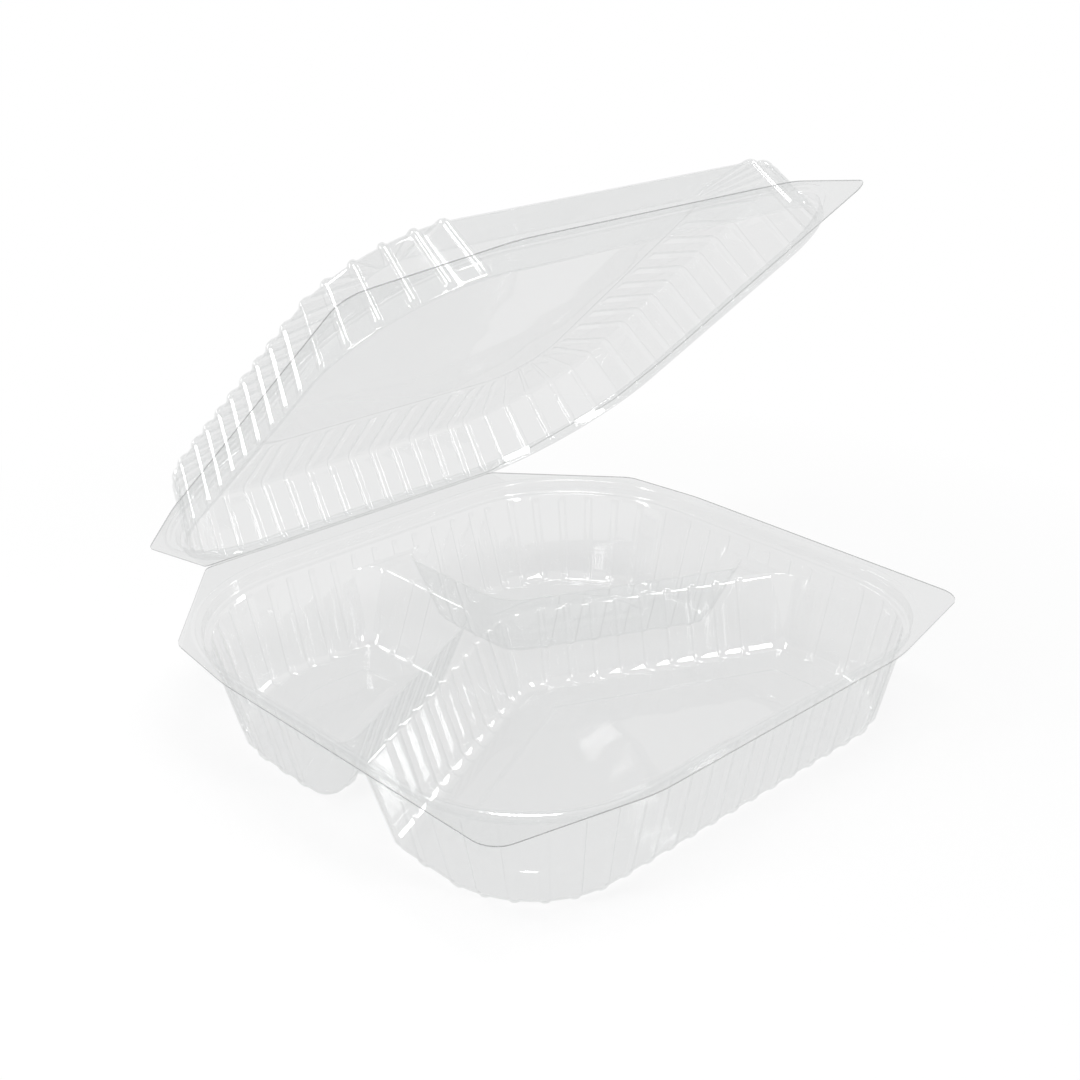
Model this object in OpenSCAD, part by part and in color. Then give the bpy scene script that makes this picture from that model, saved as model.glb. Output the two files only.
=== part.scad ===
// Clear hinged food container: one thermoformed sheet, a three-compartment tray and its lid.
// The tray stands on z = 0. x runs along the hinge, y points to the hinge, z is up.

/* [Footprint] */
// Width of the flange, along the hinge
body_w = 228; // [210:1:250]
// Depth of the flange, from its front edge to the hinge line
body_d = 210; // [195:1:230]
// Length of the straight part of the front edge
front_straight = 120; // [90:1:140]
// How far back the front edge has run where it meets the sides
front_setback = 11.5; // [6:0.5:14]
// Radius of the front corners of the flange
front_tip_r = 9; // [4:0.5:14]
// Distance from the hinge at which the sides begin to close in
side_taper_l = 75; // [60:1:90]
// How far the sides close in before the clipped corners
side_taper_in = 4; // [1:0.5:6]
// Clipped hinge corners, measured along the hinge
clip_x = 44; // [36:1:50]
// Clipped hinge corners, measured along the sides
clip_y = 43; // [36:1:50]
// Radius that softens the clipped corners
clip_r = 10; // [4:0.5:16]

/* [Rim] */
// Thickness of the formed sheet
sheet_t = 0.4; // [0.3:0.05:0.6]
// Width of the flange at the sides
side_rim = 6; // [5:0.5:9]
// Width of the flange at the front
front_rim = 6; // [5:0.5:9]
// Width of the flange at the hinge
hinge_rim = 12; // [10:0.5:15]
// Depth of the seat in the tray that the lid plugs into
seat_h = 5; // [3.5:0.5:7]
// Width of the ledge at the foot of the seat
ledge_w = 2.5; // [2:0.1:3.5]
// Corner radius of the seat at the front
front_corner_r = 46; // [42:1:56]
// Corner radius of the seat at the hinge
hinge_corner_r = 60; // [54:1:64]
// Bevel at the foot of the seat
seat_bevel = 0.8; // [0.4:0.1:1.2]
// Gap between the tray's seat and the lid's plug, all round
plug_gap = 0.3; // [0.2:0.05:0.5]

/* [Tray] */
// Height of the flange above the table
tray_h = 39.5; // [34:0.5:44]
// How far each side wall comes in for a millimetre of depth
side_slope = 0.27; // [0.2:0.01:0.32]
// How far the front wall comes in for a millimetre of depth
front_slope = 0.17; // [0.12:0.01:0.25]
// How far the hinge wall comes in for a millimetre of depth
hinge_slope = 0.34; // [0.25:0.01:0.4]
// Height of the bevel between the walls and the floor
foot_h = 2.4; // [1.5:0.1:3.5]
// Width of the level border round the raised panel in each floor
floor_border = 14; // [10:0.5:16]
// Height of the raised panel in each floor
floor_panel_h = 0.8; // [0.5:0.1:1.2]

/* [Dividers] */
// Depth of the divider tops below the flange
divider_drop = 11.5; // [9:0.5:15]
// Width of the top of the divider that runs to the hinge wall
stem_w = 14; // [10:0.5:18]
// Width of the tops of the two dividers that run to the sides
arm_w = 10; // [8:0.5:15]
// Angle that the arms fall back towards the front
arm_angle = 24; // [16:1:30]
// Distance of the point where the front edges of the arms meet, behind the middle
arm_apex_y = 22; // [16:0.5:28]
// How far each divider face widens for a millimetre of depth
divider_slope = 0.34; // [0.25:0.01:0.42]
// Radius where a divider meets an outer wall
divider_fillet = 9; // [7.5:0.5:11]
// Radius of the pocket corners where the dividers meet each other
hub_r = 14; // [12:0.5:18]

/* [Lid] */
// Height of the lid's wall above the flange
lid_wall_h = 18; // [14:0.5:24]
// Height of the lid's top above the flange, at the panel
lid_top_h = 21.5; // [18:0.5:28]
// How far the lid's wall comes in for a millimetre of height
lid_slope = 0.25; // [0.2:0.01:0.35]
// Height and width of the round shoulder above the wall
shoulder = 3.5; // [2.5:0.1:5]
// Width of the ribbed border on top, from the shoulder to the panel
border_w = 24; // [18:0.5:28]
// Width of the sloping step round the panel
panel_step_w = 6; // [3:0.5:8]
// Depth of the panel below the border
panel_drop = 2; // [1:0.1:3]

/* [Ribs] */
// Spacing of the ribs
rib_pitch = 10; // [9:0.5:14]
// Width of a rib at its foot
rib_w = 3.6; // [2.4:0.1:4]
// Height of a rib
rib_h = 1; // [0.6:0.1:1.3]

/* [Hinge] */
// Angle at which the lid stands open in the modelled position
open_angle = 44; // [20:1:80]
// Gap between the two flanges when the lid is shut
flange_gap = 0.3; // [0.2:0.05:0.5]
// Room left on each side of the fold line
fold_gap = 0.3; // [0.2:0.05:0.5]
// Radius of the fold bead along the hinge
fold_r = 0.3; // [0.2:0.05:0.35]

/* [Hidden] */
eps = 0.01;
// Height of the fold line, halfway between the shut flanges
fold_z = tray_h + flange_gap / 2;
fold_y = body_d / 2;
// Levels in the tray
ledge_z = tray_h - seat_h;
divider_z = tray_h - divider_drop;
// Height over which a rib grows out of the ledge or the plug
rib_start = 2.4;
// Share of a corner or of the lid's border that carries ribs
rib_share = 0.86;
seat_slope = 0.14;
seat_in = seat_slope * seat_h;
// The plug stops short of the ledge
plug_h = seat_h - plug_gap;
// Points of a rib across its width, and how far each stands out
rib_t = [-rib_w / 2, -rib_w / 5, rib_w / 5, rib_w / 2];
rib_a = [0, 1, 1, 0];
RIBBED = true;
PLAIN = false;

// Flange corners on the right, from front to hinge, each [x, y, radius]. The hinge edge lies at y = back.
function flange_right(back) = [
    [front_straight / 2, -body_d / 2, 60],
    [body_w / 2, -body_d / 2 + front_setback, front_tip_r],
    [body_w / 2, body_d / 2 - side_taper_l, 60],
    [body_w / 2 - side_taper_in, body_d / 2 - clip_y, clip_r],
    [body_w / 2 - clip_x, back, clip_r / 2]
];
function flange_corners(back) =
    let (right = flange_right(back))
    concat(right, [for (i = [len(right) - 1:-1:0]) [-right[i].x, right[i].y, right[i][2]]]);

// Arc that rounds corner b between its neighbours a and c
function arc_points(a, b, c, r, n = 5) =
    let (
        u = unit(a - b), v = unit(c - b),
        half = acos(u * v) / 2,
        centre = b + unit(u + v) * r / sin(half),
        from = b + u * r / tan(half) - centre,
        turn = 180 - 2 * half
    )
    [for (k = [0:n]) centre + turned(from, turn * k / n)];
function unit(v) = v / norm(v);
function turned(v, a) = [v.x * cos(a) - v.y * sin(a), v.x * sin(a) + v.y * cos(a)];
function flat(p) = [p.x, p.y];
function flange_outline(back) = let (c = flange_corners(back), n = len(c)) [
    for (i = [0:n - 1], p = arc_points(flat(c[(i + n - 1) % n]), flat(c[i]), flat(c[(i + 1) % n]), c[i][2])) p
];

// A wall line: [direction it faces, distance from the origin, slope, level of that distance, ribbed].
// A corner after it: [radius, slope of the radius, number of ribs].
function side_at(e, z) = e[1] - e[2] * (e[3] - z);
function corner_at(c, e, z) = c[0] - c[1] * (e[3] - z);
function meet(a, p, b, q) = [p * sin(b) - q * sin(a), q * cos(a) - p * cos(b)] / sin(b - a);
function after(list, i) = list[(i + 1) % len(list)];
function centre_at(walls, corners, i, z) =
    let (e = walls[i], g = after(walls, i), r = corner_at(corners[i], e, z))
    meet(e[0], side_at(e, z) - r, g[0], side_at(g, z) - r);
function along(e, p) = -sin(e[0]) * p.x + cos(e[0]) * p.y;

// Stations round a ring of walls: [wall or corner, index, place along it, how far a rib stands out]
function wall_stations(walls, corners, i, zs) =
    let (
        e = walls[i], last = (i + len(walls) - 1) % len(walls),
        lo = max([for (z = zs) along(e, centre_at(walls, corners, last, z))]),
        hi = min([for (z = zs) along(e, centre_at(walls, corners, i, z))]),
        first = ceil((lo + rib_w * 0.6) / rib_pitch - 0.5),
        final = floor((hi - rib_w * 0.6) / rib_pitch - 0.5)
    )
    e[4] && final >= first
        ? [for (k = [first:final], j = [0:3]) [0, i, (k + 0.5) * rib_pitch + rib_t[j], rib_a[j]]]
        : [];
function corner_stations(walls, corners, i, zs) =
    let (
        a = walls[i][0], span = (after(walls, i)[0] - a + 360) % 360, n = corners[i][2],
        r = corner_at(corners[i], walls[i], min(zs)), cell = span / max(n, 1),
        // Ribs get narrower where a tight corner would press them together
        spread = min(1, rib_share * cell / (rib_w / r * 180 / PI))
    )
    n > 0
        ? [for (k = [0:n - 1], j = [0:3]) [1, i, a + (k + 0.5) * cell + rib_t[j] * spread / r * 180 / PI, rib_a[j]]]
        : [for (k = [0:4]) [1, i, a + span * k / 4, 0]];
function stations(walls, corners, zs) = [
    for (i = [0:len(walls) - 1])
        for (s = concat(wall_stations(walls, corners, i, zs), corner_stations(walls, corners, i, zs))) s
];
// Point of a station on the wall surface of level z, moved outwards by out
function place(walls, corners, s, z, out) =
    s[0] == 0
        ? let (e = walls[s[1]], d = side_at(e, z) + out)
          [d * cos(e[0]) - s[2] * sin(e[0]), d * sin(e[0]) + s[2] * cos(e[0])]
        : let (c = centre_at(walls, corners, s[1], z), r = corner_at(corners[s[1]], walls[s[1]], z) + out)
          [c.x + r * cos(s[2]), c.y + r * sin(s[2])];
// A ring: [level of the wall surface, height, outward move, rib height outwards, rib height upwards]
function ring(walls, corners, st, q) = [
    for (s = st) let (p = place(walls, corners, s, q[0], q[2] + q[3] * s[3])) [p.x, p.y, q[1] + q[4] * s[3]]
];

// Closed solid through rings that have the same number of points, from the lowest ring to the highest
module skin(rings) {
    n = len(rings[0]);
    m = len(rings);
    points = [for (r = rings) for (p = r) p];
    faces = concat(
        [[for (i = [n - 1:-1:0]) i]],
        [[for (i = [0:n - 1]) (m - 1) * n + i]],
        [for (j = [0:m - 2], i = [0:n - 1]) [j * n + i, j * n + (i + 1) % n, (j + 1) * n + (i + 1) % n]],
        [for (j = [0:m - 2], i = [0:n - 1]) [j * n + i, (j + 1) * n + (i + 1) % n, (j + 1) * n + i]]
    );
    // Faces run clockwise seen from outside
    polyhedron(points, [for (f = faces) [for (k = [len(f) - 1:-1:0]) f[k]]], convexity = 12);
}
module walled(walls, corners, levels, zs) {
    st = stations(walls, corners, zs);
    skin([for (q = levels) ring(walls, corners, st, q)]);
}

// Outer walls below the ledge, as the tray's inner surface
wall_side = body_w / 2 - side_rim - seat_in - ledge_w;
wall_front = body_d / 2 - front_rim - seat_in - ledge_w;
wall_hinge = body_d / 2 - hinge_rim - seat_in - ledge_w;
wall_corner_f = front_corner_r - seat_in - ledge_w;
wall_corner_h = hinge_corner_r - seat_in - ledge_w;
corner_slope_f = (side_slope + front_slope) / 2;
corner_slope_h = (side_slope + hinge_slope) / 2;
corner_ribs_f = round(wall_corner_f * PI / 2 * rib_share / rib_pitch);
corner_ribs_h = round(wall_corner_h * PI / 2 * rib_share / rib_pitch);
front_wall = [-90, wall_front, front_slope, ledge_z, RIBBED];
right_wall = [0, wall_side, side_slope, ledge_z, RIBBED];
hinge_wall = [90, wall_hinge, hinge_slope, ledge_z, RIBBED];
left_wall = [180, wall_side, side_slope, ledge_z, RIBBED];
corner_f = [wall_corner_f, corner_slope_f, corner_ribs_f];
corner_h = [wall_corner_h, corner_slope_h, corner_ribs_h];
basin_walls = [front_wall, right_wall, hinge_wall, left_wall];
basin_corners = [corner_f, corner_h, corner_h, corner_f];

// Divider faces as pocket walls. The arms' front faces meet at the apex behind the middle.
arm_front_d = arm_apex_y * cos(arm_angle);
arm_back_d = -(arm_front_d + arm_w);
fillet = [divider_fillet, divider_slope / 3, 0];
hub = [hub_r, divider_slope / 3, 0];
function face(a, d) = [a, d, divider_slope, divider_z, RIBBED];
// Corners next to a divider measure their radius at the divider's level
function wall_fillet(e) = [divider_fillet + divider_slope / 3 * (e[3] - divider_z), divider_slope / 3, 0];

// Pocket in front of the arms
front_pocket_walls = [front_wall, right_wall, face(90 - arm_angle, arm_front_d),
                      face(90 + arm_angle, arm_front_d), left_wall];
front_pocket_corners = [corner_f, wall_fillet(right_wall), hub, fillet, corner_f];
// Pocket at the hinge, right of the stem
right_pocket_walls = [face(-90 - arm_angle, arm_back_d), right_wall, hinge_wall, face(180, -stem_w / 2)];
right_pocket_corners = [fillet, corner_h, wall_fillet(hinge_wall), hub];
// Pocket at the hinge, left of the stem
left_pocket_walls = [face(-90 + arm_angle, arm_back_d), face(0, -stem_w / 2), hinge_wall, left_wall];
left_pocket_corners = [hub, fillet, corner_h, wall_fillet(left_wall)];
pockets = [[front_pocket_walls, front_pocket_corners],
           [right_pocket_walls, right_pocket_corners],
           [left_pocket_walls, left_pocket_corners]];

module flange(back) {
    linear_extrude(sheet_t) polygon(flange_outline(back));
}

// Seat outline at the flange, for the tray or, moved inwards, for the lid's plug
seat_walls = [
    [-90, body_d / 2 - front_rim, seat_slope, tray_h, PLAIN],
    [0, body_w / 2 - side_rim, seat_slope, tray_h, PLAIN],
    [90, body_d / 2 - hinge_rim, seat_slope, tray_h, PLAIN],
    [180, body_w / 2 - side_rim, seat_slope, tray_h, PLAIN]
];
seat_corners = [
    [front_corner_r, seat_slope, 0], [hinge_corner_r, seat_slope, 0],
    [hinge_corner_r, seat_slope, 0], [front_corner_r, seat_slope, 0]
];
// Smooth outline of the walls at a level, moved outwards by out; a corner never gets sharper than tight_r
tight_r = 3;
corner_steps = 6;
function outline(walls, corners, level, out) = [
    for (i = [0:len(walls) - 1])
        let (
            e = walls[i], g = after(walls, i),
            r = max(corner_at(corners[i], e, level) + out, tight_r),
            c = meet(e[0], side_at(e, level) + out - r, g[0], side_at(g, level) + out - r),
            span = (g[0] - e[0] + 360) % 360
        )
        for (k = [0:corner_steps])
            let (a = e[0] + span * k / corner_steps) c + r * [cos(a), sin(a)]
];
// Thin slice with that outline, at height z
module slice(walls, corners, level, z, out) {
    translate([0, 0, z]) linear_extrude(eps) polygon(outline(walls, corners, level, out));
}
// Body with the seat's outline and a bevelled foot, moved outwards by out
module seat(top, bottom, out) {
    hull() {
        slice(seat_walls, seat_corners, top, top, out);
        slice(seat_walls, seat_corners, bottom, bottom + seat_bevel, out);
    }
    hull() {
        slice(seat_walls, seat_corners, bottom, bottom + seat_bevel, out);
        slice(seat_walls, seat_corners, bottom, bottom, out - seat_bevel);
    }
}

// Space above the tray's sheet, or with out = sheet_t the solid under it
module basin(out) {
    walled(basin_walls, basin_corners, [
        [divider_z, divider_z - out, out, rib_h, 0],
        [ledge_z - rib_start, ledge_z - rib_start, out, rib_h, 0],
        [ledge_z + (out > 0 ? 0 : 1), ledge_z + (out > 0 ? 0 : 1), out, 0, 0]
    ], [0, ledge_z]);
}
// Raised panel in the floor of a pocket, or with out = sheet_t the hollow under it
module floor_panel(p, out) {
    sink = sheet_t / 2;
    hull() {
        slice(p[0], p[1], sheet_t, sheet_t - sink - out, -floor_border);
        slice(p[0], p[1], sheet_t, sheet_t + floor_panel_h - eps - out, -floor_border - 2 * (sink + floor_panel_h));
    }
}
// The pockets start this much inside the basin's wall, so that no two faces lie almost on each other
pocket_step = 0.06;
// How far they reach up into the basin
overlap = 3;
module pocket(p, out) {
    move = out - pocket_step;
    walled(p[0], p[1], [
        [sheet_t, sheet_t - out, move - foot_h, 0, 0],
        [sheet_t + foot_h, sheet_t + foot_h - out * 0.4, move, rib_h, 0],
        [divider_z + overlap, divider_z + overlap, move, rib_h, 0]
    ], [0, ledge_z]);
}

module base_tray() {
    color([0.9, 0.92, 0.93, 0.4]) union() {
        difference() {
            union() {
                translate([0, 0, tray_h - sheet_t]) flange(fold_y);
                seat(tray_h - eps, ledge_z - sheet_t, sheet_t);
                basin(sheet_t);
                for (p = pockets) pocket(p, sheet_t);
            }
            seat(tray_h + 1, ledge_z, 0);
            basin(0);
            for (p = pockets) difference() {
                pocket(p, 0);
                floor_panel(p, 0);
            }
            for (p = pockets) floor_panel(p, sheet_t);
        }
        fold_bead();
    }
}
// Bead along the fold, on the tray's side of it
module fold_bead() {
    fold_l = body_w - 2 * clip_x - clip_r / 2;
    translate([-fold_l / 2, fold_y, fold_z]) rotate([0, 90, 0]) cylinder(r = fold_r, h = fold_l, $fn = 12);
}

// Lid, drawn shut with its flange on z = 0
lid_walls = [
    [-90, wall_front - plug_gap, -lid_slope, -plug_h, PLAIN],
    [0, wall_side - plug_gap, -lid_slope, -plug_h, RIBBED],
    [90, wall_hinge - plug_gap, -lid_slope, -plug_h, RIBBED],
    [180, wall_side - plug_gap, -lid_slope, -plug_h, RIBBED]
];
lid_corners = [
    [wall_corner_f - plug_gap, -lid_slope, corner_ribs_f],
    [wall_corner_h - plug_gap, -lid_slope, corner_ribs_h],
    [wall_corner_h - plug_gap, -lid_slope, corner_ribs_h],
    [wall_corner_f - plug_gap, -lid_slope, corner_ribs_f]
];
wall_top = lid_wall_h - shoulder;
// Space under the lid's sheet, or with out = sheet_t the solid over it
module cup(out) {
    rib_end = shoulder + border_w * rib_share;
    rib_end_z = lid_wall_h + (lid_top_h - lid_wall_h) * rib_share;
    walled(lid_walls, lid_corners, [
        [-plug_h - (out > 0 ? 0 : 1), -plug_h - (out > 0 ? 0 : 1), out, 0, 0],
        [-plug_h + rib_start, -plug_h + rib_start, out, rib_h, 0],
        [wall_top, wall_top + out * 0.2, out, rib_h, rib_h * 0.2],
        [wall_top, wall_top + shoulder * 0.6 + out * 0.7, out * 0.7 - shoulder * 0.25, rib_h * 0.7, rib_h * 0.7],
        [wall_top, lid_wall_h + out, out * 0.2 - shoulder, rib_h * 0.2, rib_h],
        [wall_top, rib_end_z + out, -rib_end, 0, rib_h],
        [wall_top, rib_end_z + (lid_top_h - rib_end_z) / 2 + out, -(rib_end + shoulder + border_w) / 2, 0, 0]
    ], [-plug_h, wall_top]);
    hull() {
        slice(lid_walls, lid_corners, wall_top, lid_top_h - eps + out, -shoulder - border_w);
        slice(lid_walls, lid_corners, wall_top, wall_top, -(2 * shoulder + border_w) * 0.75);
    }
}
// Space above the sunken panel, or with out = sheet_t moved down to keep the sheet's thickness
module panel_hollow(up) {
    rim = shoulder + border_w;
    hull() {
        slice(lid_walls, lid_corners, wall_top, lid_top_h + up, -rim);
        slice(lid_walls, lid_corners, wall_top, lid_top_h - panel_drop + up, -rim - panel_step_w);
    }
}
module lid_shut() {
    difference() {
        union() {
            difference() {
                union() {
                    flange(fold_y - fold_gap - fold_r);
                    translate([0, 0, -tray_h]) seat(tray_h + sheet_t, tray_h - plug_h, -plug_gap);
                }
                translate([0, 0, -tray_h]) seat(tray_h + 1, tray_h - plug_h + sheet_t, -plug_gap - sheet_t);
            }
            difference() {
                cup(sheet_t);
                panel_hollow(sheet_t + eps);
            }
        }
        difference() {
            cup(0);
            panel_hollow(eps);
        }
    }
}
module lid() {
    color([0.92, 0.93, 0.94, 0.4])
        translate([0, fold_y, fold_z]) rotate([-open_angle, 0, 0])
            translate([0, -fold_y, flange_gap / 2]) lid_shut();
}

base_tray();
lid();
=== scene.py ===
"""Clear hinged food container: a tray with three pockets, a low ribbed lid, and the crease that joins them.

Every length inside the classes is in millimetres, in the part's own frame: x runs along the hinge, y points
to the hinge, and the tray stands on z = 0. Meshes are made in metres.
"""

import logging
import math
from dataclasses import dataclass
from enum import Enum
from typing import Callable, Iterable, Sequence

import bpy
import numpy as np
from mathutils import Matrix, Vector
from mathutils.geometry import delaunay_2d_cdt

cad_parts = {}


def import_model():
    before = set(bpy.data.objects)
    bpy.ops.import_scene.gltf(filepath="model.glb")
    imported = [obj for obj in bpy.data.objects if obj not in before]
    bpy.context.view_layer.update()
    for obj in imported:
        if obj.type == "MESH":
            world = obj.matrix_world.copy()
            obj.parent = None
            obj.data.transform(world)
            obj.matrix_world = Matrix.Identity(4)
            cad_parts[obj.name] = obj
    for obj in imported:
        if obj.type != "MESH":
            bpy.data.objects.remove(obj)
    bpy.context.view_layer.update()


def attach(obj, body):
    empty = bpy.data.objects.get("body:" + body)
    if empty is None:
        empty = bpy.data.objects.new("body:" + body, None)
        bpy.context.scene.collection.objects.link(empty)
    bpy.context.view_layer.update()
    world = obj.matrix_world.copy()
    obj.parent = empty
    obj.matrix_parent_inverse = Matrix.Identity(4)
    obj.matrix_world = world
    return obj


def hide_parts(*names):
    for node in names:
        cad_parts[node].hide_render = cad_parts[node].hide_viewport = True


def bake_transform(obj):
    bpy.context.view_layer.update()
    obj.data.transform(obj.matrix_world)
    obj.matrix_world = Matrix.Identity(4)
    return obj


log = logging.getLogger("container")
Place = tuple[float, float]
MM = 0.001
HORIZONTAL, UPRIGHT = 0.0, 90.0
WHITE = (1.0, 1.0, 1.0, 1.0)


# Sizes


@dataclass(frozen=True)
class Footprint:
    """The flange outline that tray and lid share."""

    width: float = 228.0
    depth: float = 210.0
    front_straight: float = 120.0
    front_setback: float = 11.5
    tip_radius: float = 9.0
    taper_length: float = 75.0
    taper_in: float = 4.0
    clip_x: float = 44.0
    clip_y: float = 43.0
    clip_radius: float = 10.0
    sheet: float = 0.4

    def corners(self) -> list[tuple[float, float, float]]:
        """The flange's corners, anticlockwise from the front, each x, y and radius."""
        w, d = self.width / 2, self.depth / 2
        right = [
            (self.front_straight / 2, -d, 60.0),
            (w, -d + self.front_setback, self.tip_radius),
            (w, d - self.taper_length, 60.0),
            (w - self.taper_in, d - self.clip_y, self.clip_radius),
            (w - self.clip_x, d, self.clip_radius / 2),
        ]
        return right + [(-x, y, r) for x, y, r in reversed(right)]

    def outline(self, inset: float = 0.0, steps: int = 8) -> list[tuple[float, float]]:
        """Points along the flange's edge.

        Args:
            inset: how far inside the edge the points lie.
            steps: segments in each rounded corner.

        Returns:
            The points, anticlockwise.
        """
        corners = self.corners()
        points = []
        for i, (x, y, radius) in enumerate(corners):
            b = np.array([x, y])
            before = np.array(corners[i - 1][:2])
            after = np.array(corners[(i + 1) % len(corners)][:2])
            u = (before - b) / np.linalg.norm(before - b)
            v = (after - b) / np.linalg.norm(after - b)
            half = math.acos(float(u @ v)) / 2
            centre = b + (u + v) / np.linalg.norm(u + v) * radius / math.sin(half)
            spoke = b + u * radius / math.tan(half) - centre
            turn = math.pi - 2 * half
            scale = max(radius - inset, 0.2) / radius
            for k in range(steps + 1):
                a = turn * k / steps
                points.append(
                    (
                        float(centre[0] + scale * (spoke[0] * math.cos(a) - spoke[1] * math.sin(a))),
                        float(centre[1] + scale * (spoke[0] * math.sin(a) + spoke[1] * math.cos(a))),
                    )
                )
        return points


@dataclass(frozen=True)
class Ribs:
    """The ribs pressed into every ribbed wall: flat on top, with a flank on each side."""

    pitch: float = 10.0
    width: float = 3.6
    height: float = 1.0
    share: float = 0.86
    flank: float = 0.78
    profile: tuple[float, ...] = (-1.0, -0.82, -0.62, -0.42, -0.22, 0.0, 0.22, 0.42, 0.62, 0.82, 1.0)


@dataclass(frozen=True)
class Fold:
    """The crease along the hinge edge, and how far the lid stands open."""

    y: float = 105.0
    z: float = 39.65
    open_angle: float = 44.0
    gap: float = 0.3

    def place(self, x: float, y: float, h: float) -> tuple[float, float, float]:
        """Puts a point of the shut lid where the open lid has it.

        Args:
            x: place along the hinge.
            y: place across the container.
            h: height over the underside of the lid's flange.

        Returns:
            The point on the open lid.
        """
        a = math.radians(self.open_angle)
        dy, dz = y - self.y, h + self.gap / 2
        return (
            x,
            self.y + dy * math.cos(a) + dz * math.sin(a),
            self.z - dy * math.sin(a) + dz * math.cos(a),
        )


# Walls


@dataclass(frozen=True)
class Wall:
    """A straight wall: the way it faces, its distance from the middle at a level, and how it leans."""

    facing: float
    reach: float
    lean: float
    level: float
    ribbed: bool = True
    lip: float = 0.0


@dataclass(frozen=True)
class Corner:
    """A round corner after a wall: its radius at a level, how that changes with height, and its ribs."""

    radius: float
    taper: float
    level: float
    ribs: int = 0


@dataclass
class Station:
    """A place along an outline: on wall or corner number index, at a distance or an angle."""

    on_corner: bool
    index: int
    at: float
    across: float = 2.0
    lip: float = 0.0
    short: bool = False


@dataclass(frozen=True)
class Ring:
    """One closed line of the sheet: wall level, height, outward move, rib share, rib tilt and lip move."""

    level: float
    z: float
    out: float = 0.0
    rib: float = 0.0
    tilt: float = HORIZONTAL
    lip: float = 0.0
    short: float = 0.0


def facing_vector(angle: float) -> np.ndarray:
    """Unit vector in plan for an angle in degrees."""
    a = math.radians(angle)
    return np.array([math.cos(a), math.sin(a)])


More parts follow.
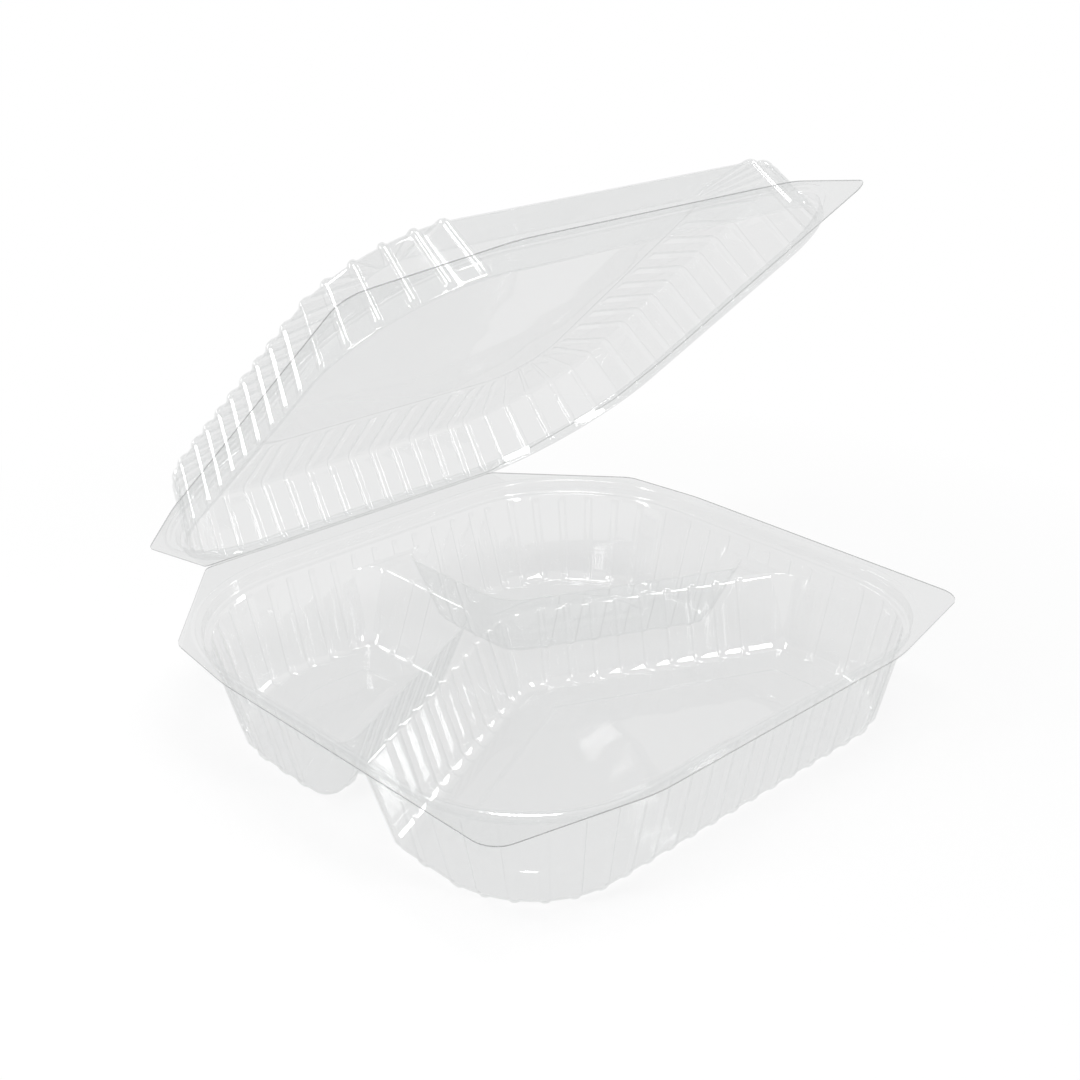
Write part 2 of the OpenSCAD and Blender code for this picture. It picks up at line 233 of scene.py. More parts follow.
class Outline:
    """Straight walls joined by round corners, anticlockwise, that change with height."""

    tight = 3.0

    def __init__(self, walls: Sequence[Wall], corners: Sequence[Corner], ribs: Ribs) -> None:
        """Keeps the walls, the corner after each of them, and the ribs."""
        self.walls = list(walls)
        self.corners = list(corners)
        self.ribs = ribs

    def side(self, i: int, level: float) -> float:
        """Distance of wall i from the middle at a level."""
        w = self.walls[i]
        return w.reach - w.lean * (w.level - level)

    def radius(self, i: int, level: float) -> float:
        """Radius of corner i at a level."""
        c = self.corners[i]
        return c.radius - c.taper * (c.level - level)

    def span(self, i: int) -> float:
        """Angle through which corner i turns."""
        following = self.walls[(i + 1) % len(self.walls)]
        return (following.facing - self.walls[i].facing) % 360

    def round_corner(self, i: int, level: float, out: float) -> tuple[np.ndarray, float]:
        """Centre and radius of corner i.

        Args:
            i: the corner.
            level: the level of the walls.
            out: how far outside the walls the line runs.

        Returns:
            The centre in plan and the radius.
        """
        r = max(self.radius(i, level) + out, self.tight)
        j = (i + 1) % len(self.walls)
        a, b = math.radians(self.walls[i].facing), math.radians(self.walls[j].facing)
        p, q = self.side(i, level) + out - r, self.side(j, level) + out - r
        k = math.sin(b - a)
        centre = np.array([p * math.sin(b) - q * math.sin(a), q * math.cos(a) - p * math.cos(b)]) / k
        return centre, r

    def stretch(self, i: int, level: float, out: float = 0.0) -> tuple[float, float]:
        """Where the straight part of wall i begins and ends, along the wall."""
        tangent = facing_vector(self.walls[i].facing + 90)
        before, _ = self.round_corner((i - 1) % len(self.walls), level, out)
        after, _ = self.round_corner(i, level, out)
        return float(tangent @ before), float(tangent @ after)

    def across_at(self, i: int, at: float, levels: Iterable[float]) -> float:
        """Place of a point of wall i across the rib it lies in, -1 to 1, or 2 outside the ribs."""
        first, last = self.rib_numbers(i, levels)
        k = round(at / self.ribs.pitch - 0.5)
        u = (at - (k + 0.5) * self.ribs.pitch) / (self.ribs.width / 2)
        return u if self.walls[i].ribbed and first <= k <= last and abs(u) <= 1 else 2.0

    def rib_numbers(self, i: int, levels: Iterable[float]) -> tuple[int, int]:
        """Numbers of the first and last rib that wall i holds at all the levels."""
        spans = [self.stretch(i, z) for z in levels]
        lo, hi = max(s[0] for s in spans), min(s[1] for s in spans)
        room = 0.6 * self.ribs.width
        return (
            math.ceil((lo + room) / self.ribs.pitch - 0.5),
            math.floor((hi - room) / self.ribs.pitch - 0.5),
        )

    def wall_places(self, i: int, levels: Iterable[float]) -> list[Station]:
        """Stations on wall i: across each rib, and once between two ribs."""
        first, last = self.rib_numbers(i, levels)
        pitch, half = self.ribs.pitch, self.ribs.width / 2
        found = []
        for k in range(first, last + 1):
            for u in self.ribs.profile:
                u_there = u if self.walls[i].ribbed else 2.0
                found.append(Station(False, i, (k + 0.5) * pitch + u * half, u_there))
            if k < last:
                found.append(Station(False, i, (k + 1) * pitch))
        return found

    def corner_places(self, i: int, lowest: float, smooth_steps: int = 8) -> list[Station]:
        """Stations round corner i, with its first and last point on the walls."""
        start, span, n = self.walls[i].facing, self.span(i), self.corners[i].ribs
        if n == 0:
            angles = [(start + span * k / smooth_steps, 2.0) for k in range(smooth_steps + 1)]
        else:
            r, cell = self.radius(i, lowest), span / n
            half = math.degrees(self.ribs.width / 2 / r)
            half *= min(1.0, self.ribs.share * cell / (2 * half))
            angles = []
            for k in range(n):
                angles.append((start + k * cell, 2.0))
                angles += [(start + (k + 0.5) * cell + u * half, u) for u in self.ribs.profile]
            angles.append((start + span, 2.0))
        before, after = self.walls[i].lip, self.walls[(i + 1) % len(self.walls)].lip
        places = []
        for angle, u in angles:
            plain = start if before < after else start + span
            fade = (1 - math.cos(math.radians(angle - plain))) / (1 - math.cos(math.radians(span)))
            lip = before if before == after else fade
            places.append(Station(True, i, angle, u, lip))
        return places

    def stations(self, levels: Sequence[float]) -> list[Station]:
        """All the stations, wall and corner in turn."""
        found = []
        for i, wall in enumerate(self.walls):
            for s in self.wall_places(i, levels):
                s.lip = wall.lip
                found.append(s)
            found += self.corner_places(i, min(levels))
        return found

    def points(self, stations: Sequence[Station], ring: Ring) -> tuple[np.ndarray, np.ndarray]:
        """Places of the stations on a ring.

        Args:
            stations: the stations.
            ring: the ring.

        Returns:
            The points in plan, and the way each one faces.
        """
        stretches = [self.stretch(i, ring.level, ring.out) for i in range(len(self.walls))]
        rounds = [self.round_corner(i, ring.level, ring.out) for i in range(len(self.walls))]
        places, ways = [], []
        for s in stations:
            if s.on_corner:
                way = facing_vector(s.at)
                centre, r = rounds[s.index]
                p = centre + r * way
            else:
                facing = self.walls[s.index].facing
                way = facing_vector(facing)
                lo, hi = stretches[s.index]
                at = min(max(s.at, lo), hi)
                p = (self.side(s.index, ring.level) + ring.out) * way + at * facing_vector(facing + 90)
            places.append(p + way * ring.lip * s.lip)
            ways.append(way)
        return np.array(places), np.array(ways)


# Meshes


class SheetMesh:
    """One side of a formed sheet: points with their rib data, and the faces between them."""

    grain = 0.002
    shift = 0.00037

    def __init__(self) -> None:
        """Starts with no points."""
        self.points: list[tuple[float, float, float]] = []
        self.push: list[tuple[float, float, float]] = []
        self.across: list[float] = []
        self.faces: list[tuple[int, ...]] = []
        self.known: dict[tuple[int, int, int], int] = {}

    def add(
        self,
        p: tuple[float, float, float],
        push: tuple[float, float, float] = (0.0, 0.0, 0.0),
        across: float = 2.0,
    ) -> int:
        """Adds a point, or finds the one that is there already.

        Args:
            p: the point.
            push: the way and the share in which a rib moves it.
            across: its place across the rib.

        Returns:
            The point's number.
        """
        key = tuple(round((c + self.shift) / self.grain) for c in p)
        if key not in self.known:
            self.known[key] = len(self.points)
            self.points.append(p)
            self.push.append(push)
            self.across.append(across)
        return self.known[key]

    def ring(self, outline: Outline, stations: Sequence[Station], ring: Ring) -> list[int]:
        """Adds the points of a ring and returns their numbers."""
        places, ways = outline.points(stations, ring)
        flat, steep = math.cos(math.radians(ring.tilt)), math.sin(math.radians(ring.tilt))
        numbers = []
        for s, p, w in zip(stations, places, ways):
            share = ring.rib * (ring.short if s.short else 1.0)
            push = (w[0] * flat * share, w[1] * flat * share, steep * share)
            numbers.append(self.add((float(p[0]), float(p[1]), ring.z), push, s.across))
        return numbers

    def face(self, numbers: Sequence[int]) -> None:
        """Adds a face, without the points that fall together."""
        kept = [n for i, n in enumerate(numbers) if n != numbers[i - 1]]
        if len(set(kept)) == len(kept) and len(kept) > 2:
            self.faces.append(tuple(kept))

    def strip(self, inner: Sequence[int], outer: Sequence[int]) -> None:
        """Faces between two rings of the same stations."""
        n = len(inner)
        for i in range(n):
            j = (i + 1) % n
            self.face((inner[i], outer[i], outer[j], inner[j]))

    def fill(self, outer: Sequence[int], holes: Sequence[Sequence[int]] = ()) -> None:
        """Level faces between a ring and the rings inside it."""
        loops = [list(outer)] + [list(h) for h in holes]
        used = sorted({n for loop in loops for n in loop})
        local = {n: i for i, n in enumerate(used)}
        flat = [Vector(self.points[n][:2]) for n in used]
        edges = []
        for loop in loops:
            pairs = zip([loop[-1], *loop], loop)
            edges += [(local[a], local[b]) for a, b in pairs if a != b]
        verts, _, triangles, origins, _, _ = delaunay_2d_cdt(flat, edges, [], 0, 1e-5, True)
        shapes = [np.array([flat[local[n]] for n in loop], dtype=float) for loop in loops]
        level = self.points[outer[0]][2]
        numbers = [
            used[o[0]] if o else self.add((float(v[0]), float(v[1]), level)) for v, o in zip(verts, origins)
        ]
        for tri in triangles:
            corners = np.array([verts[k] for k in tri], dtype=float)
            middle = corners.mean(axis=0)
            if inside(shapes[0], middle) and not any(inside(s, middle) for s in shapes[1:]):
                a, b, c = corners
                turn = (b[0] - a[0]) * (c[1] - a[1]) - (b[1] - a[1]) * (c[0] - a[0])
                order = tri if turn > 0 else tri[::-1]
                self.face([numbers[k] for k in order])

    def build(
        self, name: str, place: Callable[[float, float, float], tuple], flipped: bool
    ) -> bpy.types.Object:
        """Makes the mesh object.

        Args:
            name: the object's name.
            place: puts a point, in millimetres, into the part's frame.
            flipped: whether the faces point down, as the underside of the lid does.

        Returns:
            The object, with the rib data as attributes.
        """
        origin = np.array(place(0.0, 0.0, 0.0))
        axes = np.array([np.array(place(*unit)) - origin for unit in np.eye(3)])
        mesh = bpy.data.meshes.new(name)
        faces = [f[::-1] for f in self.faces] if flipped else self.faces
        points = (np.array(self.points) @ axes + origin) * MM
        mesh.from_pydata([tuple(p) for p in points], [], faces)
        push = mesh.attributes.new("rib_push", "FLOAT_VECTOR", "POINT")
        push.data.foreach_set("vector", (np.array(self.push) @ axes).ravel())
        across = mesh.attributes.new("rib_across", "FLOAT", "POINT")
        across.data.foreach_set("value", self.across)
        mesh.validate()
        return added(name, mesh)


def added(name: str, data: bpy.types.ID) -> bpy.types.Object:
    """Makes an object of a mesh, lamp or camera and adds it to the scene."""
    obj = bpy.data.objects.new(name, data)
    bpy.context.scene.collection.objects.link(obj)
    return obj


def inside(shape: np.ndarray, p: np.ndarray) -> bool:
    """Whether point p lies inside a closed shape in plan."""
    x, y = shape[:, 0], shape[:, 1]
    x2, y2 = np.roll(x, -1), np.roll(y, -1)
    crossing = (y > p[1]) != (y2 > p[1])
    with np.errstate(divide="ignore", invalid="ignore"):
        at = x + (p[1] - y) / (y2 - y) * (x2 - x)
    return bool(np.count_nonzero(crossing & (p[0] < at)) % 2)


def rounded(start: Place, corner: Place, end: Place, n: int) -> list[Place]:
    """Points of a bend from start to end round a corner, in n steps, without the ends."""
    a, b, c = (np.array(p) for p in (start, corner, end))
    found = []
    for k in range(1, n):
        t = k / n
        p = (1 - t) ** 2 * a + 2 * t * (1 - t) * b + t**2 * c
        found.append((float(p[0]), float(p[1])))
    return found


# Node helpers


class Signal:
    """A shader socket that takes part in sums."""

    def __init__(self, tree: bpy.types.NodeTree, socket: bpy.types.NodeSocket) -> None:
        """Wraps an output socket of a tree."""
        self.tree = tree
        self.socket = socket

    def combine(
        self, operation: str, *others: "Signal | float", first: bool = True, clamp: bool = False
    ) -> "Signal":
        """Adds one Math node.

        Args:
            operation: the node's operation.
            others: the other values.
            first: whether this signal is the first value.
            clamp: whether the result stays between 0 and 1.

        Returns:
            The result.
        """
        node = self.tree.nodes.new("ShaderNodeMath")
        node.operation = operation
        node.use_clamp = clamp
        values = [self, *others] if first else [*others, self]
        for socket, value in zip(node.inputs, values):
            connect(self.tree, socket, value)
        return Signal(self.tree, node.outputs[0])

    def __add__(self, other: "Signal | float") -> "Signal":
        """Sum."""
        return self.combine("ADD", other)

    def __sub__(self, other: "Signal | float") -> "Signal":
        """Difference."""
        return self.combine("SUBTRACT", other)

    def __rsub__(self, other: float) -> "Signal":
        """Difference, the number first."""
        return self.combine("SUBTRACT", other, first=False)

    def __mul__(self, other: "Signal | float") -> "Signal":
        """Product."""
        return self.combine("MULTIPLY", other)

    def __truediv__(self, other: "Signal | float") -> "Signal":
        """Quotient."""
        return self.combine("DIVIDE", other)

    def __pow__(self, other: float) -> "Signal":
        """Power."""
        return self.combine("POWER", other)

    __radd__, __rmul__ = __add__, __mul__

    def clamped(self) -> "Signal":
        """The same value, kept between 0 and 1."""
        return self.combine("ADD", 0.0, clamp=True)


def connect(tree: bpy.types.NodeTree, socket: bpy.types.NodeSocket, value: object) -> None:
    """Links a signal to a socket, or sets the socket's own value."""
    if isinstance(value, Signal):
        tree.links.new(value.socket, socket)
    elif isinstance(value, bpy.types.NodeSocket):
        tree.links.new(value, socket)
    else:
        socket.default_value = value


class NodeMaker:
    """Makes the nodes of one tree."""

    def __init__(self, tree: bpy.types.NodeTree) -> None:
        """Keeps the tree."""
        self.tree = tree

    def node(self, kind: str, settings: dict | None = None, **values: object) -> bpy.types.Node:
        """Adds a node.

        Args:
            kind: the node's type.
            settings: its own settings, made first.
            values: values or links of its inputs, by name with _ for a space.

        Returns:
            The node.
        """
        made = self.tree.nodes.new(kind)
        for name, value in (settings or {}).items():
            setattr(made, name, value)
        for name, value in values.items():
            connect(self.tree, made.inputs[name.replace("_", " ")], value)
        return made

    def signal(self, node: bpy.types.Node, output: str | int = 0) -> Signal:
        """One output of a node, ready for sums."""
        return Signal(self.tree, node.outputs[output])

    def noise(self, coordinates: bpy.types.NodeSocket, scale: float, detail: float) -> Signal:
        """Noise on the piece's own coordinates."""
        made = self.node("ShaderNodeTexNoise", None, Vector=coordinates, Scale=scale, Detail=detail)
        return self.signal(made, "Fac")

    def mix(self, share: Signal, *shaders: bpy.types.Node) -> bpy.types.Node:
        """Mixes two shaders, where share is that of the second."""
        made = self.node("ShaderNodeMixShader", None, Fac=share)
        for shader, socket in zip(shaders, made.inputs[1:]):
            self.tree.links.new(shader.outputs[0], socket)
        return made


def empty_material(name: str) -> tuple[bpy.types.Material, NodeMaker]:
    """Makes a material without nodes, and what makes its nodes."""
    mat = bpy.data.materials.new(name)
    mat.use_nodes = True
    mat.node_tree.nodes.clear()
    return mat, NodeMaker(mat.node_tree)


# Finishes


@dataclass(frozen=True)
class ClearSheet:
    """Clear thermoformed sheet: thin, glossy and a little milky; greyer at a slant, partly from the longer
    path through the sheet and partly as painted shade for darker reflections at grazing angles.
    """

    name: str
    passed: tuple[float, float, float] = (0.987, 0.9885, 0.9885)
    body: tuple[float, float, float] = (0.60, 0.615, 0.615)
    haze: float = 0.012
    slant_shade_haze: float = 0.3
    slant_power: float = 4.0
    gloss_roughness: float = 0.05
    facing_mirror: float = 0.105
    slant_mirror: float = 0.42
    ripple: float = 0.35
    ripple_scale: float = 55.0
    ripple_height: float = 0.0006
    cloud_scale: float = 30.0
    body_roughness: float = 0.45

    def make(self) -> bpy.types.Material:
        """Builds the material. Only the outer face of the sheet shines and is milky."""
        mat, n = empty_material(self.name)
        here = n.node("ShaderNodeTexCoord").outputs["Object"]
        height = n.noise(here, self.ripple_scale, 0.0)
        bump = n.node(
            "ShaderNodeBump", None, Strength=self.ripple, Distance=self.ripple_height, Height=height
        )
        normal = bump.outputs["Normal"]
        slant = n.signal(n.node("ShaderNodeLayerWeight", None, Blend=0.5), "Facing")
        cloud = n.noise(here, self.cloud_scale, 1.0)
        outer = 1.0 - n.signal(n.node("ShaderNodeNewGeometry"), "Backfacing")
        # Partly painted shade: the grey body share rises at a slant for darker grazing reflections, besides
        # the sheet's real milky haze
        milk_and_shade = slant**self.slant_power * self.slant_shade_haze + self.haze * (0.6 + 0.8 * cloud)
        haze_and_shade_share = milk_and_shade.clamped() * outer
        clear = n.node("ShaderNodeBsdfTransparent", None, Color=(*self.passed, 1.0))
        matt = {"Base_Color": (*self.body, 1.0), "Roughness": self.body_roughness, "Normal": normal}
        film = n.mix(haze_and_shade_share, clear, n.node("ShaderNodeBsdfPrincipled", None, **matt))
        roughness = self.gloss_roughness * (0.7 + 0.6 * cloud)
        shine = n.node("ShaderNodeBsdfGlossy", None, Color=WHITE, Roughness=roughness, Normal=normal)
        glint = n.signal(n.node("ShaderNodeLayerWeight", None, Blend=0.5, Normal=normal), "Facing")
        mirror = (glint**5.0 * (self.slant_mirror - self.facing_mirror) + self.facing_mirror) * outer
        surface = n.mix(mirror, film, shine)
        n.node("ShaderNodeOutputMaterial", None, Surface=surface.outputs[0])
        return mat


@dataclass(frozen=True)
class CutEdge:
    """The die-cut edge of the sheet, painted dark grey as shade that stands in for the light lost inside the
    edge.
    """

    name: str
    shade_colour: tuple[float, float, float] = (0.30, 0.31, 0.31)
    share: float = 0.62
    spread: float = 0.3
    grain_scale: float = 900.0
    roughness: float = 0.3

    def make(self) -> bpy.types.Material:
        """Builds the material."""
        mat, n = empty_material(self.name)
        grain = n.noise(n.node("ShaderNodeTexCoord").outputs["Object"], self.grain_scale, 2.0)
        clear = n.node("ShaderNodeBsdfTransparent", None, Color=(0.9, 0.9, 0.9, 1.0))
        # Painted shade: dark grey in place of the light trapped inside the cut edge
        cut = {"Base_Color": (*self.shade_colour, 1.0), "Roughness": self.roughness}
        share = (grain * self.spread + (self.share - self.spread / 2)).clamped()
        mixed = n.mix(share, clear, n.node("ShaderNodeBsdfPrincipled", None, **cut))
        n.node("ShaderNodeOutputMaterial", None, Surface=mixed.outputs[0])
        return mat


# Ribs and thickness


def rib_tree(material: bpy.types.Material) -> bpy.types.NodeTree:
    """Geometry nodes that press the ribs into a sheet.

    Args:
        material: the sheet's material.

    Returns:
        The tree. Its inputs are the sheet, the rib height, the flank's share of half a rib and the material.
    """
    tree = bpy.data.node_groups.new("pressed_ribs", "GeometryNodeTree")
    face = tree.interface
    inputs = {"Sheet": "Geometry", "Rib height": "Float", "Rib flank": "Float", "Finish": "Material"}
    for name, kind in inputs.items():
        made = face.new_socket(name=name, in_out="INPUT", socket_type="NodeSocket" + kind)
    made.default_value = material
    face.new_socket(name="Sheet", in_out="OUTPUT", socket_type="NodeSocketGeometry")
    n = NodeMaker(tree)
    given = n.node("NodeGroupInput")
    across = n.node("GeometryNodeInputNamedAttribute", {"data_type": "FLOAT"}, Name="rib_across")
    push = n.node("GeometryNodeInputNamedAttribute", {"data_type": "FLOAT_VECTOR"}, Name="rib_push")
    u = Signal(tree, across.outputs["Attribute"])
    up = ((1.0 - u.combine("ABSOLUTE")) / Signal(tree, given.outputs["Rib flank"])).clamped()
    rise = up * up * (3.0 - 2.0 * up) * Signal(tree, given.outputs["Rib height"])
    scale = {"operation": "SCALE"}
    move = n.node("ShaderNodeVectorMath", scale, Vector=push.outputs["Attribute"], Scale=rise)
    pressed = n.node(
        "GeometryNodeSetPosition", None, Geometry=given.outputs["Sheet"], Offset=move.outputs["Vector"]
    )
    whole = n.node("GeometryNodeRealizeInstances", None, Geometry=pressed.outputs["Geometry"])
    dressed = n.node(
        "GeometryNodeSetMaterial", None, Geometry=whole.outputs["Geometry"], Material=given.outputs["Finish"]
    )
    n.node("NodeGroupOutput", None, Sheet=dressed.outputs["Geometry"])
    return tree


class RibPress:
    """Presses ribs into a sheet and gives it its thickness."""

    def __init__(self, ribs: Ribs, sheet: float, film: bpy.types.Material, edge: bpy.types.Material) -> None:
        """Keeps the sizes and the two finishes, and builds the tree."""
        self.ribs = ribs
        self.sheet = sheet
        self.film = film
        self.edge = edge
        self.tree = rib_tree(film)

    def form(self, obj: bpy.types.Object) -> bpy.types.Object:
        """Turns one side of a sheet into the finished, ribbed sheet.

        Args:
            obj: the object with the rib data.

        Returns:
            A new object of the same name with a plain mesh.
        """
        for material in (self.film, self.edge):
            obj.data.materials.append(material)
        press = obj.modifiers.new("ribs", "NODES")
        press.node_group = self.tree
        sizes = {"Rib height": self.ribs.height * MM, "Rib flank": self.ribs.flank, "Finish": self.film}
        for item in self.tree.interface.items_tree:
            if item.in_out == "INPUT" and item.name in sizes:
                press[item.identifier] = sizes[item.name]
        wall = obj.modifiers.new("thickness", "SOLIDIFY")
        wall.thickness = self.sheet * MM
        wall.offset = -1.0
        wall.use_even_offset = False
        wall.use_quality_normals = True
        wall.material_offset_rim = 1
        return finished(obj, [self.film, self.edge])


def finished(
    obj: bpy.types.Object, materials: Sequence[bpy.types.Material], smooth: float = 35.0
) -> bpy.types.Object:
    """Applies an object's modifiers and dresses the plain mesh.

    Args:
        obj: the object.
        materials: the materials, in the order of the mesh's slots.
        smooth: angle above which an edge stays sharp.

    Returns:
        A new object with the old one's name.
    """
    depsgraph = bpy.context.evaluated_depsgraph_get()
    mesh = bpy.data.meshes.new_from_object(obj.evaluated_get(depsgraph))
    name = obj.name
    old = obj.data
    bpy.data.objects.remove(obj)
    bpy.data.meshes.remove(old)
    mesh.name = name
    slots = np.zeros(len(mesh.polygons), dtype=np.int32)
    mesh.polygons.foreach_get("material_index", slots)
    mesh.materials.clear()
    for material in materials:
        mesh.materials.append(material)
    mesh.polygons.foreach_set("material_index", np.minimum(slots, len(materials) - 1))
    mesh.shade_smooth()
    mesh.set_sharp_from_angle(angle=math.radians(smooth))
    made = added(name, mesh)
    even = made.modifiers.new("even_flats", "WEIGHTED_NORMAL")
    even.keep_sharp = True
    depsgraph = bpy.context.evaluated_depsgraph_get()
    level = bpy.data.meshes.new_from_object(made.evaluated_get(depsgraph))
    made.modifiers.remove(even)
    made.data = level
    bpy.data.meshes.remove(mesh)
    level.name = name
    return made


# Tray


@dataclass
class Tray:
    """The lower half: flange, seat, ribbed walls, three pockets and the hollow dividers between them."""

    footprint: Footprint
    ribs: Ribs
    flange_z: float = 39.5
    seat_depth: float = 5.0
    side_rim: float = 6.0
    front_rim: float = 6.0
    hinge_rim: float = 12.0
    rim_in: float = 3.2
    front_radius: float = 42.8
    hinge_radius: float = 56.8
    side_lean: float = 0.27
    front_lean: float = 0.17
    hinge_lean: float = 0.34
    divider_drop: float = 11.5
    divider_lean: float = 0.34
    stem_width: float = 14.0
    arm_width: float = 10.0
    arm_angle: float = 24.0
    arm_apex: float = 22.0
    fillet: float = 9.0
    hub: float = 14.0
    lip: float = 1.3
    foot: float = 2.6
    border: float = 14.0
    panel_rise: float = 0.8
    ledge_bend: float = 0.7
    apart: float = 0.01

    @property
    def ledge_z(self) -> float:
        """Height of the ledge at the foot of the seat."""
        return self.flange_z - self.seat_depth

    @property
    def divider_z(self) -> float:
        """Height of the dividers' tops."""
        return self.flange_z - self.divider_drop

    def outer_walls(self, front_ribs: bool = True) -> dict[str, Wall]:
        """The four outer walls by name."""
        w, d, z = self.footprint.width / 2, self.footprint.depth / 2, self.ledge_z
        return {
            "front": Wall(-90, d - self.front_rim - self.rim_in, self.front_lean, z, front_ribs),
            "right": Wall(0, w - self.side_rim - self.rim_in, self.side_lean, z),
            "hinge": Wall(90, d - self.hinge_rim - self.rim_in, self.hinge_lean, z),
            "left": Wall(180, w - self.side_rim - self.rim_in, self.side_lean, z),
        }

    def outer_corners(self) -> tuple[Corner, Corner]:
        """The corner at the front and the corner at the hinge."""

        def count(radius: float) -> int:
            return round(radius * math.pi / 2 * self.ribs.share / self.ribs.pitch)

        sizes = ((self.front_radius, self.front_lean), (self.hinge_radius, self.hinge_lean))
        front, hinge = (Corner(r, (self.side_lean + a) / 2, self.ledge_z, count(r)) for r, a in sizes)
        return front, hinge

    def basin(self) -> Outline:
        """Outline of the outer walls."""
        walls = self.outer_walls()
        front, hinge = self.outer_corners()
        order = [walls[k] for k in ("front", "right", "hinge", "left")]
        return Outline(order, [front, hinge, hinge, front], self.ribs)

    def pockets(self) -> list[Outline]:
        """Outlines of the front, right and left pockets."""
        walls = self.outer_walls()
        front_c, hinge_c = self.outer_corners()
        arm_front = self.arm_apex * math.cos(math.radians(self.arm_angle))
        arm_back = -(arm_front + self.arm_width)

        def face(angle: float, reach: float) -> Wall:
            return Wall(angle, reach, self.divider_lean, self.divider_z, True, 1.0)

        meet = Corner(self.fillet, self.divider_lean / 3, self.divider_z)
        hub = Corner(self.hub, self.divider_lean / 3, self.divider_z)
        tilt = self.arm_angle
        stem = -self.stem_width / 2
        arms = [face(90 - tilt, arm_front), face(90 + tilt, arm_front)]
        front = Outline(
            [walls["front"], walls["right"], *arms, walls["left"]],
            [front_c, meet, hub, meet, front_c],
            self.ribs,
        )
        right = Outline(
            [face(-90 - tilt, arm_back), walls["right"], walls["hinge"], face(180, stem)],
            [meet, hinge_c, meet, hub],
            self.ribs,
        )
        left = Outline(
            [face(-90 + tilt, arm_back), face(0, stem), walls["hinge"], walls["left"]],
            [hub, meet, hinge_c, meet],
            self.ribs,
        )
        return [front, right, left]

    def basin_stations(self, basin: Outline, pockets: Sequence[Outline]) -> list[Station]:
        """The basin's stations, with one more wherever a pocket's corner leaves an outer wall."""
        levels = (0.0, self.ledge_z)
        found = []
        for i, wall in enumerate(basin.walls):
            on_wall = basin.wall_places(i, levels)
            for pocket in pockets:
                for j, own in enumerate(pocket.walls):
                    if own.facing % 360 != wall.facing % 360 or own.lip:
                        continue
                    neighbours = (pocket.walls[j - 1].lip, pocket.walls[(j + 1) % len(pocket.walls)].lip)
                    for at, lip in zip(pocket.stretch(j, self.divider_z), neighbours):
                        if lip:
                            on_wall.append(Station(False, i, at, basin.across_at(i, at, levels)))
            on_wall.sort(key=lambda s: s.at)
            found += on_wall + basin.corner_places(i, 0.0)
        return found

    def pocket_stations(self, basin: Outline, shared: Sequence[Station], pocket: Outline) -> list[Station]:
        """A pocket's stations, which are the basin's own ones on the outer walls."""
        levels = (0.0, self.ledge_z)
        by_facing = {wall.facing % 360: i for i, wall in enumerate(basin.walls)}
        found = []
        for i, wall in enumerate(pocket.walls):
            if wall.lip:
                for s in pocket.wall_places(i, (0.0, self.divider_z)):
                    s.lip = 1.0
                    found.append(s)
            else:
                lo, hi = pocket.stretch(i, self.divider_z)
                first, last = pocket.rib_numbers(i, levels)
                own = by_facing[wall.facing % 360]
                for s in shared:
                    if not s.on_corner and s.index == own and lo + self.apart < s.at < hi - self.apart:
                        k = round(s.at / self.ribs.pitch - 0.5)
                        found.append(Station(False, i, s.at, s.across, 0.0, not first <= k <= last))
            found += pocket.corner_places(i, 0.0)
        return found

    def rim_rings(self) -> list[Ring]:
        """Rings from the ledge over the seat to the flat of the flange."""
        z, r = self.ledge_z, self.ledge_bend
        start, end = (0.0, z - r), (r, z)
        profile = [start, *rounded(start, (0.0, z), end, 3), end, *Seat().profile(z, self.flange_z)]
        return [Ring(z, height, out) for out, height in profile]

    def build(self, press: RibPress) -> bpy.types.Object:
        """Makes the tray's sheet.

        Args:
            press: gives it ribs and thickness.

        Returns:
            The finished object.
        """
        mesh = SheetMesh()
        basin, pockets = self.basin(), self.pockets()
        stations = self.basin_stations(basin, pockets)
        zd, zl = self.divider_z, self.ledge_z
        shares = ((zd, 1.0), (zd + 2, 1.0), (zl - 2.6, 1.0), (zl - 1.8, 0.7), (zl - 1.2, 0.2))
        basin_rings = [Ring(z, z, rib=share) for z, share in shares]
        rings = [mesh.ring(basin, stations, r) for r in basin_rings + self.rim_rings()]
        for a, b in zip(rings, rings[1:]):
            mesh.strip(a, b)
        holes = []
        for pocket in pockets:
            holes.append(self.add_pocket(mesh, pocket, self.pocket_stations(basin, stations, pocket)))
        mesh.fill(rings[0], holes)
        add_flange(mesh, self.footprint, rings[-1], self.flange_z)
        raw = mesh.build("tray_sheet", lambda x, y, z: (x, y, z), False)
        return press.form(raw)

